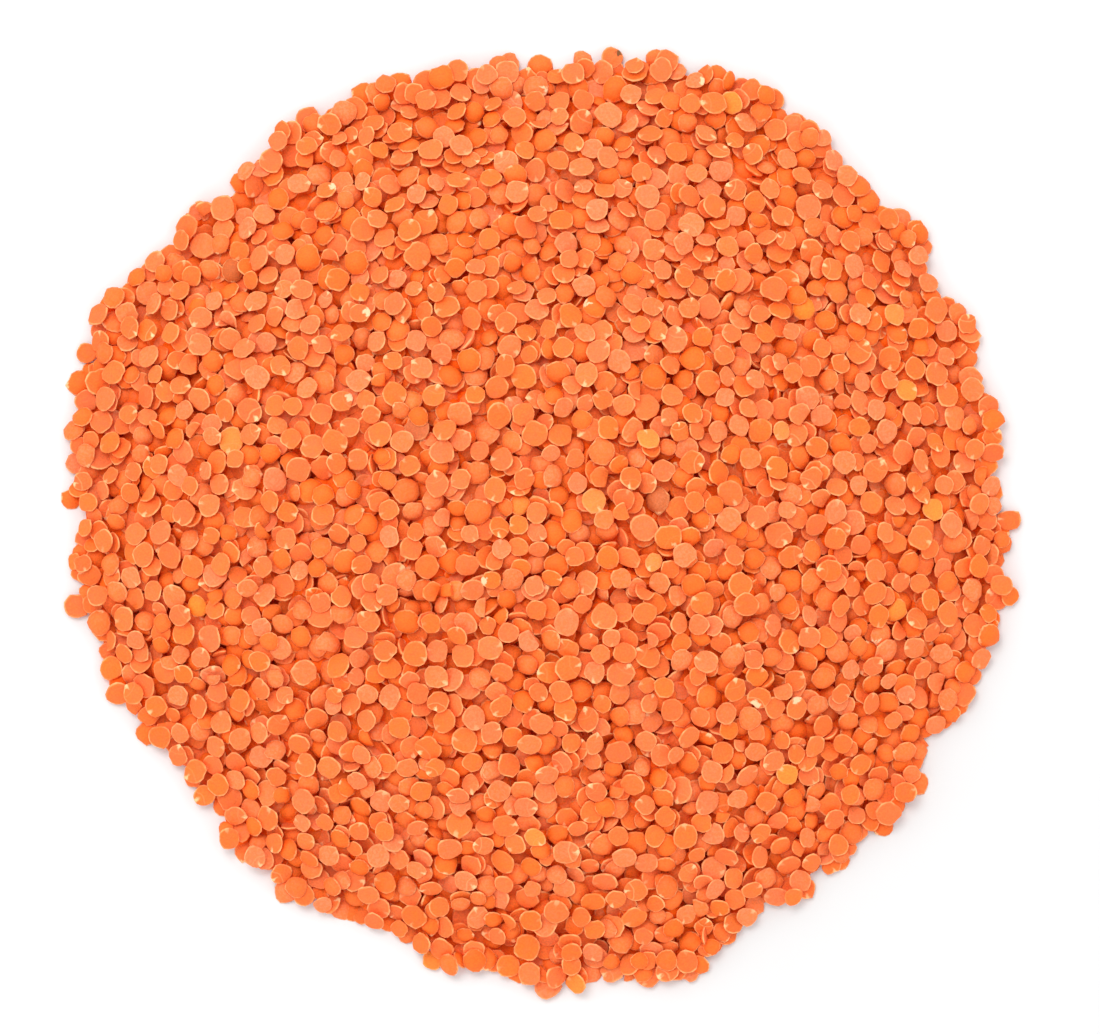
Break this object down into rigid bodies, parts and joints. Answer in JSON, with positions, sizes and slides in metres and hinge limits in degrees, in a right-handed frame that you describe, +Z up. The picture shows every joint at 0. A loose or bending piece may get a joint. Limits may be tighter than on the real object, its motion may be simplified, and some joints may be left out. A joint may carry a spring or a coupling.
{
  "type": "heap of split red lentils",
  "caption": "Low round mound of dry split red lentils lying loose on a flat surface, with an uneven foot, made as one solid.",
  "frame": {"origin": "on the surface that the heap lies on, under the middle of its box", "axes": "+Z up, away from the surface; +X to the right and +Y to the top, seen from straight above"},
  "size_m": [0.1856, 0.1836, 0.0251],
  "materials": {
    "red_lentil": "dry split pulse, salmon orange, dull with a faint satin sheen"
  },
  "bodies": {
    "root": {"lentil_heap": "red_lentil"}
  },
  "joints": []
}
